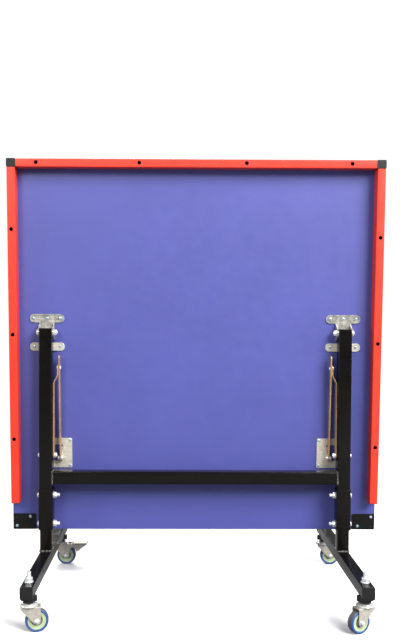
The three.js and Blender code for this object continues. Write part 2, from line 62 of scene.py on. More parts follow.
# ------------------------------------------------------------------ material kit
class Mat:
    """A node material: noise, ramps and bumps in the object's own coordinates, in metres."""

    def __init__(self, name, rough=0.5, metal=0.0, coat=0.0, coat_rough=0.1, sheen=0.0, ior=1.5, spec=0.5):
        self.m = bpy.data.materials.new(name)
        self.m.use_nodes = True
        self.t = self.m.node_tree
        self.n, self.l = self.t.nodes, self.t.links
        self.b = self.n["Principled BSDF"]
        self.b.inputs["Roughness"].default_value = rough
        self.b.inputs["Metallic"].default_value = metal
        self.b.inputs["Coat Weight"].default_value = coat
        self.b.inputs["Coat Roughness"].default_value = coat_rough
        self.b.inputs["Sheen Weight"].default_value = sheen
        self.b.inputs["IOR"].default_value = ior
        self.b.inputs["Specular IOR Level"].default_value = spec
        self.co = self.n.new("ShaderNodeTexCoord").outputs["Object"]
        self.h = None

    def noise(self, scale, detail=3.0, rough=0.5, dist=0.0, stretch=None):
        v = self.co
        if stretch:
            mp = self.n.new("ShaderNodeMapping")
            mp.inputs["Scale"].default_value = stretch
            self.l.new(self.co, mp.inputs["Vector"])
            v = mp.outputs["Vector"]
        t = self.n.new("ShaderNodeTexNoise")
        t.inputs["Scale"].default_value = scale
        t.inputs["Detail"].default_value = detail
        t.inputs["Roughness"].default_value = rough
        t.inputs["Distortion"].default_value = dist
        self.l.new(v, t.inputs["Vector"])
        return t.outputs["Fac"]

    def voronoi(self, scale, feature="F1"):
        t = self.n.new("ShaderNodeTexVoronoi")
        t.feature = feature
        t.inputs["Scale"].default_value = scale
        self.l.new(self.co, t.inputs["Vector"])
        return t.outputs["Distance"], t.outputs["Color"]

    def ramp(self, fac, stops):
        r = self.n.new("ShaderNodeValToRGB")
        e = r.color_ramp.elements
        while len(e) < len(stops):
            e.new(0.5)
        for el, (p, c) in zip(e, stops):
            el.position = p
            el.color = (*c, 1.0) if len(c) == 3 else c
        self.l.new(fac, r.inputs["Fac"])
        return r.outputs["Color"]

    def mix(self, fac, a, b, kind="MIX"):
        x = self.n.new("ShaderNodeMix")
        x.data_type = "RGBA"
        x.blend_type = kind
        for sock, v in ((x.inputs[0], fac), (x.inputs[6], a), (x.inputs[7], b)):
            if isinstance(v, (int, float)):
                sock.default_value = v
            elif isinstance(v, tuple):
                sock.default_value = (*v, 1.0)
            else:
                self.l.new(v, sock)
        return x.outputs[2]

    def math(self, op, a, b=0.0, clamp=False):
        x = self.n.new("ShaderNodeMath")
        x.operation = op
        x.use_clamp = clamp
        for sock, v in ((x.inputs[0], a), (x.inputs[1], b)):
            if isinstance(v, (int, float)):
                sock.default_value = v
            else:
                self.l.new(v, sock)
        return x.outputs[0]

    def range(self, fac, lo, hi, a=0.0, b=1.0):
        x = self.n.new("ShaderNodeMapRange")
        for k, v in (("From Min", a), ("From Max", b), ("To Min", lo), ("To Max", hi)):
            x.inputs[k].default_value = v
        self.l.new(fac, x.inputs["Value"])
        return x.outputs["Result"]

    def xyz(self):
        s = self.n.new("ShaderNodeSeparateXYZ")
        self.l.new(self.co, s.inputs[0])
        return s.outputs

    def colour(self, c):
        if isinstance(c, tuple):
            self.b.inputs["Base Color"].default_value = (*c, 1.0)
        else:
            self.l.new(c, self.b.inputs["Base Color"])
        return self

    def roughness(self, f):
        self.l.new(f, self.b.inputs["Roughness"])
        return self

    def bump(self, f, depth, strength=1.0):
        b = self.n.new("ShaderNodeBump")
        b.inputs["Strength"].default_value = strength
        b.inputs["Distance"].default_value = depth
        self.l.new(f, b.inputs["Height"])
        if self.h is not None:
            self.l.new(self.h, b.inputs["Normal"])
        self.h = b.outputs["Normal"]
        self.l.new(self.h, self.b.inputs["Normal"])
        return self


def srgb(r, g, b, k=1.0):
    f = lambda v: (v / 12.92 if v <= 0.04045 else ((v + 0.055) / 1.055) ** 2.4)
    return tuple(f(v / 255.0) * k for v in (r, g, b))


def painted(name, base, vary=0.12, rough=(0.3, 0.42), peel=0.00004, peel_scale=900, coat=0.0, coat_rough=0.12, spec=0.5, dust=None):
    m = Mat(name, coat=coat, coat_rough=coat_rough, spec=spec)
    big = m.noise(7, 4, 0.55)
    lo = tuple(c * (1 - vary) for c in base)
    hi = tuple(min(1, c * (1 + vary)) for c in base)
    col = m.ramp(big, [(0.3, lo), (0.7, hi)])
    if dust:
        speck = m.ramp(m.noise(160, 4, 0.7), [(0.62, (0, 0, 0)), (0.8, (1, 1, 1))])
        col = m.mix(m.math("MULTIPLY", speck, 0.35), col, dust)
    m.colour(col)
    m.roughness(m.range(m.noise(38, 4, 0.6), rough[0], rough[1], 0.3, 0.7))
    m.bump(m.noise(peel_scale, 2, 0.5), peel)
    m.bump(m.noise(peel_scale * 0.16, 2, 0.5), peel * 2.2)
    return m


def plated(name, tones, rough=(0.24, 0.42), spangle=260, grain=True, metal=0.5):
    """Zinc plating; the passivated skin scatters, so it is only partly a mirror."""
    m = Mat(name, metal=metal)
    blotch = m.noise(85, 5, 0.65, 0.6)
    col = m.ramp(blotch, [(0.30, tones[0]), (0.46, tones[1]), (0.60, tones[2]), (0.74, tones[3])])
    d, c = m.voronoi(spangle)
    cell = m.n.new("ShaderNodeSeparateColor")
    m.l.new(c, cell.inputs[0])
    col = m.mix(m.range(cell.outputs[0], 0.0, 0.22), col, tones[0])
    m.colour(col)
    r = m.math("ADD", m.range(blotch, rough[1], rough[0], 0.3, 0.7), m.range(cell.outputs[1], -0.04, 0.05))
    m.roughness(r)
    if grain:
        m.bump(m.noise(900, 3, 0.6, stretch=(1, 0.12, 1)), 0.00002, 0.8)
    m.bump(m.noise(240, 3, 0.6), 0.00003, 0.7)
    return m


def plastic(name, base, rough=(0.45, 0.6), grain=0.00004, scale=1500, spec=0.5):
    m = Mat(name, spec=spec)
    lo = tuple(c * 0.82 for c in base)
    m.colour(m.ramp(m.noise(60, 4, 0.6), [(0.35, lo), (0.7, base)]))
    m.roughness(m.range(m.noise(120, 3, 0.6), rough[0], rough[1], 0.3, 0.7))
    m.bump(m.voronoi(scale)[0], grain, 0.8)
    m.bump(m.noise(220, 3, 0.5), grain * 1.2, 0.6)
    return m


BLUE = (0.058, 0.064, 0.262)
UNDER = painted("underside_blue", BLUE, vary=0.05, rough=(0.42, 0.55), peel=0.00005, peel_scale=700)
EDGE = painted("panel_edge_blue", tuple(c * 0.62 for c in BLUE), vary=0.15, rough=(0.5, 0.65), peel=0.00012, peel_scale=420)


def play_surface():
    m = Mat("playing_side", spec=0.4)
    x, y, z = m.xyz()
    base = m.ramp(m.noise(5, 4, 0.5), [(0.3, tuple(c * 0.78 for c in BLUE)), (0.7, tuple(c * 0.88 for c in BLUE))])
    ax = m.math("ABSOLUTE", x)
    sideline = m.math("GREATER_THAN", ax, 0.488)
    endline = m.math("GREATER_THAN", z, 0.4445)
    centre = m.math("LESS_THAN", ax, 0.0015)
    line = m.math("MAXIMUM", m.math("MAXIMUM", sideline, endline), centre)
    white = m.ramp(m.noise(90, 4, 0.6), [(0.3, (0.62, 0.62, 0.62)), (0.7, (0.74, 0.74, 0.735))])
    m.colour(m.mix(line, base, white))
    m.roughness(m.range(m.noise(30, 4, 0.6), 0.5, 0.62, 0.3, 0.7))
    m.bump(m.noise(1600, 2, 0.6), 0.00005, 0.8)
    m.bump(line, 0.00006, 1.0)
    return m


PLAY = play_surface()
RED = painted("rail_red", (0.60, 0.030, 0.012), vary=0.07, rough=(0.36, 0.48), peel=0.00006, peel_scale=1100, spec=0.4)
BLACK = painted("frame_black", (0.0032, 0.0025, 0.0021), vary=0.3, rough=(0.13, 0.25), peel=0.00005, peel_scale=800, spec=0.25,
                dust=(0.030, 0.026, 0.022))
SATIN = painted("plate_black", (0.0035, 0.0032, 0.0032), spec=0.28, vary=0.25, rough=(0.3, 0.45), peel=0.00004, peel_scale=1300, dust=(0.05, 0.05, 0.05))
CAPS = plastic("cap_plastic", (0.0095, 0.0095, 0.0095), spec=0.3, rough=(0.42, 0.58))
KNOB = plastic("knob_plastic", (0.0065, 0.006, 0.006), rough=(0.30, 0.46))
ZINC = plated("zinc_plate", ((0.44, 0.41, 0.34), (0.56, 0.53, 0.45), (0.64, 0.61, 0.53), (0.72, 0.69, 0.61)), spangle=300, metal=0.4)
HINGEZ = plated("zinc_hinge", ((0.15, 0.155, 0.14), (0.34, 0.34, 0.30), (0.58, 0.56, 0.50), (0.78, 0.76, 0.69)), rough=(0.2, 0.4), spangle=200, metal=0.5)
FORKZ = plated("fork_zinc", ((0.40, 0.36, 0.30), (0.48, 0.445, 0.385), (0.55, 0.515, 0.45), (0.62, 0.585, 0.52)), rough=(0.28, 0.42), spangle=420, metal=0.4)
BRIGHT = plated("bolt_zinc", ((0.58, 0.59, 0.60), (0.70, 0.71, 0.72), (0.80, 0.81, 0.82), (0.90, 0.91, 0.92)), rough=(0.18, 0.32), spangle=700, metal=0.48)
BRASS = plated("yellow_zinc", ((0.36, 0.19, 0.10), (0.48, 0.29, 0.14), (0.56, 0.38, 0.18), (0.50, 0.42, 0.24)), rough=(0.28, 0.42), spangle=500, metal=0.5)
SCREW = plated("screw_zinc", ((0.25, 0.38, 0.45), (0.38, 0.54, 0.62), (0.52, 0.66, 0.72), (0.70, 0.80, 0.84)), rough=(0.2, 0.34), spangle=900, metal=0.55)
WELD = Mat("weld_bead", rough=0.4, spec=0.5)
WELD.colour(WELD.ramp(WELD.noise(260, 4, 0.7), [(0.38, (0.006, 0.005, 0.005)), (0.52, (0.03, 0.028, 0.025)), (0.66, (0.30, 0.28, 0.25))]))
WELD.bump(WELD.noise(420, 3, 0.6), 0.00025)


def rubber(name, base, rough=(0.45, 0.62)):
    m = Mat(name, spec=0.45)
    m.colour(m.ramp(m.noise(120, 4, 0.6), [(0.3, tuple(c * 0.75 for c in base)), (0.7, base)]))
    m.roughness(m.range(m.noise(300, 3, 0.6), rough[0], rough[1], 0.3, 0.7))
    m.bump(m.noise(1800, 2, 0.6), 0.00003, 0.7)
    return m


TREAD = rubber("tread_grey", (0.105, 0.095, 0.090))
RING = rubber("ring_blue", (0.030, 0.082, 0.29), rough=(0.34, 0.48))
DISC = plastic("disc_green", (0.44, 0.54, 0.31), rough=(0.35, 0.5), grain=0.00002)
# near-black painted shade: it goes on the rails' inner faces and on discs in the corner plates' empty holes, so those
# openings read dark
SHADE_BLACK = rubber("painted_opening_shade", (0.004, 0.0035, 0.0035), rough=(0.6, 0.8))
HUB = plastic("hub_grey", (0.20, 0.20, 0.19), rough=(0.35, 0.5), grain=0.00002)
RACE = plated("race_zinc", ((0.52, 0.52, 0.50), (0.64, 0.64, 0.62), (0.74, 0.74, 0.72), (0.84, 0.84, 0.82)), rough=(0.2, 0.32), spangle=600, metal=0.4)


# ------------------------------------------------------------------ mesh kit (millimetres)
def rrect(x0, x1, y0, y1, r, n=6):
    pts = []
    for cx, cy, a0 in ((x1 - r, y1 - r, 0), (x0 + r, y1 - r, 90), (x0 + r, y0 + r, 180), (x1 - r, y0 + r, 270)):
        for i in range(n + 1):
            a = math.radians(a0 + 90.0 * i / n)
            pts.append((cx + r * math.cos(a), cy + r * math.sin(a)))
    return pts


def place(plane, u, v, w):
    return {"XZ": (u, w, v), "YZ": (w, u, v), "XY": (u, v, w)}[plane]


def fix(bm):
    bmesh.ops.recalc_face_normals(bm, faces=bm.faces[:])
    return bm


def prism(points, plane, a, b):
    """A solid drawn in a plane and extruded from a to b along the third axis."""
    bm = bmesh.new()
    lo = [bm.verts.new(place(plane, u, v, a)) for u, v in points]
    hi = [bm.verts.new(place(plane, u, v, b)) for u, v in points]
    n = len(points)
    bm.faces.new(lo)
    bm.faces.new(hi)
    for i in range(n):
        j = (i + 1) % n
        bm.faces.new((lo[i], lo[j], hi[j], hi[i]))
    return fix(bm)


def tube(outer, inner, plane, a, b):
    """A hollow section; both outlines have the same number of points."""
    bm = bmesh.new()
    n = len(outer)
    rings = [[bm.verts.new(place(plane, u, v, w)) for u, v in pts] for pts, w in ((outer, a), (outer, b), (inner, b), (inner, a))]
    for k in range(4):
        p, q = rings[k], rings[(k + 1) % 4]
        for i in range(n):
            j = (i + 1) % n
            bm.faces.new((p[i], p[j], q[j], q[i]))
    return fix(bm)


def lathe(profile, axis, at=(0, 0, 0), n=48, closed=False):
    """profile is (radius, height) along the axis; open profiles start and end on the axis."""
    bm = bmesh.new()
    rows = []
    for r, h in profile:
        if r < 1e-6:
            rows.append([h])
        else:
            rows.append([(r * math.cos(2 * math.pi * i / n), r * math.sin(2 * math.pi * i / n), h) for i in range(n)])

    def pos(c, s, h):
        p = {"X": (h, c, s), "Y": (s, h, c), "Z": (c, s, h)}[axis]
        return (p[0] + at[0], p[1] + at[1], p[2] + at[2])

    made = []
    for row in rows:
        if not isinstance(row[0], tuple):
            made.append([bm.verts.new(pos(0, 0, row[0]))])
        else:
            made.append([bm.verts.new(pos(*p)) for p in row])
    pairs = list(zip(made, made[1:]))
    if closed:
        pairs.append((made[-1], made[0]))
    for p, q in pairs:
        for i in range(n):
            j = (i + 1) % n
            if len(p) == 1 and len(q) == 1:
                continue
            if len(p) == 1:
                bm.faces.new((p[0], q[j], q[i]))
            elif len(q) == 1:
                bm.faces.new((p[i], p[j], q[0]))
            else:
                bm.faces.new((p[i], p[j], q[j], q[i]))
    return fix(bm)


def hexnut(axis, r, a, b, at, chamfer=1.0, phase=0.0):
    """A hexagon with domed corners on both faces."""
    bm = bmesh.new()
    n = 48
    rows = []
    inr = r * math.cos(math.pi / 6)
    for h, lim in ((a, inr * 0.97), (a + chamfer, 9e9), (b - chamfer, 9e9), (b, inr * 0.97)):
        ring = []
        for i in range(n):
            t = 2 * math.pi * i / n + phase
            k = (t - phase) % (math.pi / 3) - math.pi / 6
            rad = min(inr / math.cos(k), lim)
            c, s = rad * math.cos(t), rad * math.sin(t)
            p = {"X": (h, c, s), "Y": (s, h, c), "Z": (c, s, h)}[axis]
            ring.append(bm.verts.new((p[0] + at[0], p[1] + at[1], p[2] + at[2])))
        rows.append(ring)
    for p, q in zip(rows, rows[1:]):
        for i in range(n):
            j = (i + 1) % n
            bm.faces.new((p[i], p[j], q[j], q[i]))
    bm.faces.new(rows[0])
    bm.faces.new(rows[-1])
    return fix(bm)


def thread_profile(r, a, b, pitch=1.5, depth=0.7, tip=True):
    pts = [(0, a), (r, a)]
    h = a
    while h + pitch < b - 1.5:
        pts += [(r, h + 0.15), (r - depth, h + pitch * 0.5), (r, h + pitch - 0.15)]
        h += pitch
    pts += [(r, b - 1.4), (r - 1.4, b), (0, b)] if tip else [(r, b), (0, b)]
    return pts


def merge(*bms):
    out = bmesh.new()
    for b in bms:
        me = bpy.data.meshes.new("t")
        b.to_mesh(me)
        out.from_mesh(me)
        bpy.data.meshes.remove(me)
        b.free()
    return out


def flip_x(bm):
    for v in bm.verts:
        v.co.x = -v.co.x
    bmesh.ops.reverse_faces(bm, faces=bm.faces[:])
    return bm


def moved(bm, m):
    bm.transform(m)
    return bm


def raw(bm, name="tmp"):
    me = bpy.data.meshes.new(name)
    bm.to_mesh(me)
    bm.free()
    o = bpy.data.objects.new(name, me)
    scene.collection.objects.link(o)
    return o


def combine(bm, others, op="DIFFERENCE"):
    """Boolean of bm with each of the others, as a new bmesh."""
    o = raw(bm)
    tools = []
    for k, other in enumerate(others):
        t = raw(other, f"tool{k}")
        tools.append(t)
        mod = o.modifiers.new(f"b{k}", "BOOLEAN")
        mod.operation = op
        mod.object = t
        mod.solver = "EXACT"
    bpy.context.view_layer.update()
    dg = bpy.context.evaluated_depsgraph_get()
    me = bpy.data.meshes.new_from_object(o.evaluated_get(dg))
    out = bmesh.new()
    out.from_mesh(me)
    for x in [o] + tools:
        bpy.data.objects.remove(x)
    bpy.data.meshes.remove(me)
    return out


def piece(name, bm, body, mats, replaces=(), M=None, bevel=0.0, segs=2, angle=32, smooth=True, faces=None, flip=False):
    """Turns a bmesh in millimetres into an object of the scene that rides on a body."""
    if flip:
        flip_x(bm)
    bm.transform(Matrix.Scale(MM, 4))
    bmesh.ops.remove_doubles(bm, verts=bm.verts[:], dist=1e-7)
    me = bpy.data.meshes.new(name)
    bm.to_mesh(me)
    bm.free()
    o = bpy.data.objects.new(name, me)
    scene.collection.objects.link(o)
    if M is not None:
        o.matrix_world = M
    for m in mats if isinstance(mats, (list, tuple)) else [mats]:
        me.materials.append(m.m)
    if faces:
        for p in me.polygons:
            p.material_index = faces(p)
    if smooth:
        me.polygons.foreach_set("use_smooth", [True] * len(me.polygons))
        if not bevel:
            me.set_sharp_from_angle(angle=math.radians(angle))
    if bevel:
        b = o.modifiers.new("edge", "BEVEL")
        b.width = bevel * MM
        b.segments = segs
        b.limit_method = "ANGLE"
        b.angle_limit = math.radians(angle)
        b.harden_normals = smooth
        b.miter_outer = "MITER_ARC"
        b.use_clamp_overlap = True
    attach(o, body)
    for n in replaces:
        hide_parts(n)
    return o


def screw_head(r=4.1, h=2.3, slot=True):
    """A pan head screw with a cross recess, facing -Y, seated at y = 0."""
    prof = [(0, 0.6), (r, 0.6), (r, 0.0), (r * 0.98, -h * 0.35), (r * 0.86, -h * 0.75), (r * 0.55, -h * 0.97), (0, -h)]
    bm = lathe([(a, b) for a, b in prof], "Y", n=28)
    if slot:
        w, l = 0.55, 2.1
        c1 = prism([(-l, -w), (l, -w), (l, w), (-l, w)], "XZ", -h - 1, -h * 0.35)
        c2 = prism([(-w, -l), (w, -l), (w, l), (-w, l)], "XZ", -h - 1, -h * 0.35)
        bm = combine(bm, [c1, c2])
    return bm


_screw = screw_head()


def screws(places, turn=0.35):
    """Copies of the screw head at (x, y, z) points, each turned a little differently."""
    out = []
    for i, (x, y, z) in enumerate(places):
        c = _screw.copy()
        c.transform(Matrix.Translation((x, y, z)) @ Matrix.Rotation(turn + 1.9 * i, 4, "Y"))
        out.append(c)
    return merge(*out)


def weld(path, r=2.4, closed=True, ripple=2.2):
    """A rippled bead along a path of points."""
    bm = bmesh.new()
    pts = [Vector(p) for p in path]
    seg = []
    n = len(pts)
    fine = []
    for i in range(n if closed else n - 1):
        a, b = pts[i], pts[(i + 1) % n]
        k = max(1, int((b - a).length / 0.9))
        for j in range(k):
            fine.append(a.lerp(b, j / k))
    if not closed:
        fine.append(pts[-1])
    m = len(fine)
    rings = []
    dist = 0.0
    for i, p in enumerate(fine):
        nxt = fine[(i + 1) % m] if closed or i + 1 < m else p + (p - fine[i - 1])
        prv = fine[i - 1] if closed or i else p - (nxt - p)
        t = (nxt - prv).normalized()
        up = Vector((0, 0, 1)) if abs(t.z) < 0.9 else Vector((0, 1, 0))
        s = t.cross(up).normalized()
        q = s.cross(t).normalized()
        dist += (nxt - p).length
        rad = r * (0.84 + 0.16 * abs(math.sin(dist * math.pi / ripple))) * (0.95 + 0.1 * random.random())
        rings.append([bm.verts.new(p + rad * (math.cos(a) * s + math.sin(a) * q)) for a in [2 * math.pi * k / 10 for k in range(10)]])
    for i in range(m if closed else m - 1):
        a, b = rings[i], rings[(i + 1) % m]
        for k in range(10):
            l = (k + 1) % 10
            bm.faces.new((a[k], a[l], b[l], b[k]))
    if not closed:
        bm.faces.new(rings[0])
        bm.faces.new(rings[-1])
    return fix(bm)


# ------------------------------------------------------------------ camera, light and floor
AMBIENT = 0.2
LIGHTS = (("key", (2.6, -3.2, 3.5), (0.0, 0.0, 0.5), 2.8, 560),
          ("fill", (-1.5, -3.2, 2.3), (0.0, 0.0, 0.5), 1.2, 68),
          ("back", (-0.6, 3.2, 2.8), (0.0, 0.0, 0.5), 2.0, 230),
          ("left_side", (-3.0, -0.8, 1.1), (-0.4, 0.0, 0.5), 1.2, 30),
          ("right_side", (3.0, -0.8, 1.1), (0.4, 0.0, 0.5), 1.2, 16))


def camera():
    c = bpy.data.cameras.new("camera")
    o = bpy.data.objects.new("camera", c)
    scene.collection.objects.link(o)
    c.sensor_width = 36.0
    c.sensor_fit = "AUTO"
    c.lens = 777.37 / 640 * 36.0
    c.shift_x = (200 - 180.03) / 640
    c.shift_y = (348.55 - 320) / 640
    c.clip_end = 100
    p, w, r = math.radians(2.2794), math.radians(-0.4323), math.radians(-0.2142)
    R = Matrix.Rotation(w, 3, "Z") @ Matrix.Rotation(-p, 3, "X") @ Matrix.Rotation(r, 3, "Y")
    rot = Matrix((R.col[0], R.col[2], -R.col[1])).transposed()
    o.matrix_world = Matrix.Translation((-0.0580, -2.1194, 0.7611)) @ rot.to_4x4()
    scene.camera = o


def lights():
    # a white studio: the backdrop is white, and it lights the object only faintly, so the softboxes model it
    w = bpy.data.worlds.new("studio")
    w.use_nodes = True
    t = w.node_tree
    ambient = t.nodes["Background"]
    ambient.inputs[0].default_value = (1.0, 1.0, 1.0, 1)
    ambient.inputs[1].default_value = AMBIENT
    backdrop = t.nodes.new("ShaderNodeBackground")
    backdrop.inputs[0].default_value = (1.0, 1.0, 1.0, 1)
    backdrop.inputs[1].default_value = 1.05
    path = t.nodes.new("ShaderNodeLightPath")
    mix = t.nodes.new("ShaderNodeMixShader")
    t.links.new(path.outputs["Is Camera Ray"], mix.inputs[0])
    t.links.new(ambient.outputs[0], mix.inputs[1])
    t.links.new(backdrop.outputs[0], mix.inputs[2])
    t.links.new(mix.outputs[0], t.nodes["World Output"].inputs[0])
    scene.world = w
    for name, at, aim, size, power in LIGHTS:
        d = bpy.data.lights.new(name, "AREA")
        d.shape = "SQUARE"
        d.size = size
        d.energy = power
        o = bpy.data.objects.new(name, d)
        scene.collection.objects.link(o)
        o.location = at
        o.rotation_euler = (Vector(aim) - Vector(at)).to_track_quat("-Z", "Y").to_euler()


def floor():
    # pale paper that turns into the white backdrop further out
    m = Mat("floor_paper", rough=0.8, spec=0.15)
    paper = m.ramp(m.noise(1.3, 3, 0.5), [(0.3, (0.80, 0.80, 0.80)), (0.7, (0.83, 0.83, 0.83))])
    m.bump(m.noise(60, 3, 0.5), 0.0002, 0.3)
    x, y, z = m.xyz()
    r = m.math("SQRT", m.math("ADD", m.math("MULTIPLY", x, x), m.math("MULTIPLY", y, y)))
    far = m.range(r, 0.0, 1.0, 0.9, 2.6)
    path = m.n.new("ShaderNodeLightPath")
    m.colour(m.mix(path.outputs["Is Camera Ray"], (0.20, 0.20, 0.20), paper))
    glow = m.n.new("ShaderNodeEmission")
    glow.inputs[0].default_value = (1, 1, 1, 1)
    glow.inputs[1].default_value = 1.05
    mix = m.n.new("ShaderNodeMixShader")
    m.l.new(m.math("MULTIPLY", far, path.outputs["Is Camera Ray"]), mix.inputs[0])
    m.l.new(m.b.outputs[0], mix.inputs[1])
    m.l.new(glow.outputs[0], mix.inputs[2])
    m.l.new(mix.outputs[0], m.n["Material Output"].inputs[0])
    bm = bmesh.new()
    n = 64
    bm.faces.new([bm.verts.new((14 * math.cos(2 * math.pi * i / n), 14 * math.sin(2 * math.pi * i / n), 0)) for i in range(n)])
    me = bpy.data.meshes.new("floor")
    bm.to_mesh(me)
    bm.free()
    me.materials.append(m.m)
    o = bpy.data.objects.new("floor", me)
    scene.collection.objects.link(o)


scene.view_settings.view_transform = "Standard"
camera()
lights()
floor()


# ------------------------------------------------------------------ table top
def build_top():
    # panel: its three kinds of face have their own finish
    o = piece("panel", prism(rrect(-508, 508, -556, 464.5, 2.5), "XZ", OFF, OFF + THICK), "tabletop", [UNDER, PLAY, EDGE],
              replaces=["table_panel"], M=TOP, bevel=0.9, segs=3,
              faces=lambda p: 0 if p.normal.y < -0.9 else 1 if p.normal.y > 0.9 else 2)

    holes = {"left": (276.5, -6, -293), "right": (258, -28, -313.5)}
    hole_screws = []
    for word, s in SIDES:
        x0 = RAIL_X - RAIL_W
        rail = tube(rrect(x0, RAIL_X, RY0, RY1, 2.2), rrect(x0 + 1.6, RAIL_X - 1.6, RY0 + 1.6, RY1 - 1.6, 0.8), "XY", -471, 440.5)
        cuts = [lathe([(0, RY0 - 3), (5.2, RY0 - 3), (5.2, RY0 + 5), (0, RY0 + 5)], "Y", (RAIL_X - 10.5, 0, z), 32) for z in holes[word]]
        rail = combine(rail, cuts)
        # the tube's inner faces take the near-black painted shade, so the screw holes read black
        inside = lambda p: 1 if x0 + 1.2 < abs(p.center.x) / MM < RAIL_X - 1.2 and RY0 + 1.2 < p.center.y / MM < RY1 - 1.2 and abs(p.normal.z) < 0.5 else 0
        piece(f"rail_{word}", rail, "tabletop", [RED, SHADE_BLACK], [f"side_rail_{word}"], TOP, bevel=0.45, faces=inside, flip=s < 0)
        hole_screws += [(s * (RAIL_X - 10.5), RY1 - 1.9, z) for z in holes[word]]

        # corner cap with a parting step
        cap = merge(prism(rrect(RAIL_X - 24, RAIL_X + 0.7, 440.8, 463.7, 2.8), "XZ", RY0 - 0.7, RY1),
                    prism(rrect(RAIL_X - 20, RAIL_X - 3.4, 444, 460.2, 2.0), "XZ", RY0 - 1.0, RY0),
                    prism(rrect(x0 + 2, RAIL_X - 2, RY0 + 2, RY1 - 2, 0.8), "XY", 425, 443),
                    prism(rrect(RY0 + 2, RY1 - 2, 443, 461, 0.8), "YZ", RAIL_X - 40, RAIL_X - 22))
        piece(f"cap_{word}", cap, "tabletop", CAPS, [f"corner_cap_{word}"], TOP, bevel=0.8, segs=3, flip=s < 0)

        # plug in the open end of the rail
        plug = merge(prism(rrect(x0 + 0.6, RAIL_X - 0.6, RY0 + 0.6, RY1 - 0.6, 1.8), "XY", -472.2, -471.1),
                     prism(rrect(x0 + 2.2, RAIL_X - 2.2, RY0 + 2.2, RY1 - 2.2, 0.8), "XY", -471.5, -460))
        piece(f"rail_plug_{word}", plug, "tabletop", SATIN, M=TOP, bevel=0.35, flip=s < 0)

        # net corner plate
        plate = prism(rrect(444, 507.5, -555.5, -511, 3), "XZ", RY1 - 2.3, RY1)
        drill = [lathe([(0, 10), (2.6, 10), (2.6, 30), (0, 30)], "Y", (x, 0, z), 24) for x, z in ((459.4, -519.2), (497, -519.2), (459.4, -545.3), (497, -545.3))]
        csk = [lathe([(0, 19.8), (4.2, 19.8), (2.6, 21.4), (0, 21.4)], "Y", (x, 0, z), 24) for x, z in ((459.4, -519.2), (497, -519.2), (459.4, -545.3), (497, -545.3))]
        piece(f"corner_plate_{word}", combine(plate, drill + csk), "tabletop", SATIN, [f"net_corner_plate_{word}"], TOP, bevel=0.35, flip=s < 0)
        # near-black discs on the panel face in the two empty holes of each plate: painted shade for the dark inside of
        # those holes
        bores = ((497, -519.2), (459.4, -545.3)) if s < 0 else ((459.4, -519.2), (497, -545.3))
        shade_fill = merge(*[lathe([(0, RY1 - 0.9), (1.6, RY1 - 0.9), (2.5, RY1 - 0.35), (2.5, RY1 - 0.05), (0, RY1 - 0.05)], "Y", (a, 0, b), 24) for a, b in bores])
        piece(f"hole_shade_discs_{word}", shade_fill, "tabletop", SHADE_BLACK, M=TOP, angle=40, flip=s < 0)

    x = RAIL_X - 24.3
    rail = tube(rrect(RY0, RY1, 441, 463, 2.2), rrect(RY0 + 1.6, RY1 - 1.6, 442.6, 461.4, 0.8), "YZ", -x, x)
    tops = (-427, -152.5, 133.5, 415)
    rail = combine(rail, [lathe([(0, RY0 - 3), (5.2, RY0 - 3), (5.2, RY0 + 5), (0, RY0 + 5)], "Y", (h, 0, 453), 32) for h in tops])
    # the tube's inner faces take the near-black painted shade, so the screw holes read black
    inside = lambda p: 1 if 442.2 < p.center.z / MM < 461.8 and RY0 + 1.2 < p.center.y / MM < RY1 - 1.2 and abs(p.normal.x) < 0.5 else 0
    piece("rail_end", rail, "tabletop", [RED, SHADE_BLACK], ["end_rail"], TOP, bevel=0.45, faces=inside)
    hole_screws += [(h, RY1 - 1.9, 453) for h in tops]
    piece("rail_screws", screws(hole_screws), "tabletop", SCREW, M=TOP, angle=40)

    # corner plate screws: the two that are fitted on each plate
    y = RY1 - 2.1
    piece("corner_plate_screws", screws([(-459.4, y, -519.2), (-497, y, -545.3), (497, y, -519.2), (459.4, y, -545.3)]),
          "tabletop", SCREW, M=TOP, angle=40)


